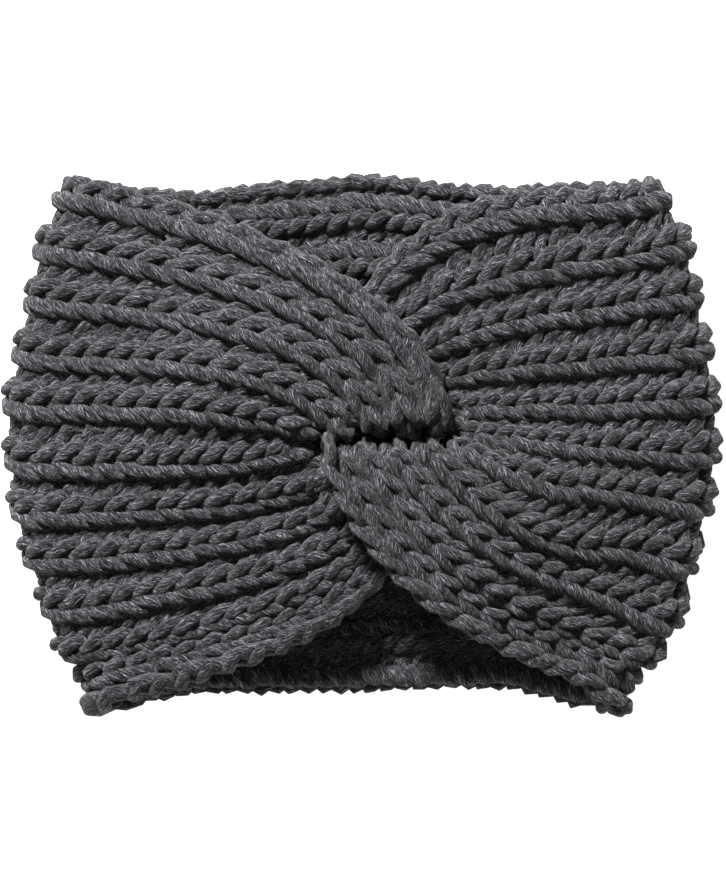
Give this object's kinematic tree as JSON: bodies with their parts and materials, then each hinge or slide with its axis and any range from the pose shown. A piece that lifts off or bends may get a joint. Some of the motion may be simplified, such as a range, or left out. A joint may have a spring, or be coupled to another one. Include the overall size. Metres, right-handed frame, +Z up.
{
  "type": "twist-front ear warmer headband",
  "caption": "Chunky rib-knit ear warmer lying flat: one wide knitted strip round the head, its ends interlocked in a soft twist at the front and sewn inside.",
  "frame": {"origin": "middle of the resting face, on the table under the band's middle", "axes": "+X along the folded band to the picture's right, +Y across the ribs to its top edge, +Z up from the table, out of the twisted front"},
  "size_m": [0.2266, 0.169, 0.0445],
  "materials": {
    "wool": "charcoal heather grey wool-blend yarn, thick, softly fuzzy and matte"
  },
  "bodies": {
    "root": {"ribbed_strip": "wool", "seam_yarn": "wool"}
  },
  "joints": []
}
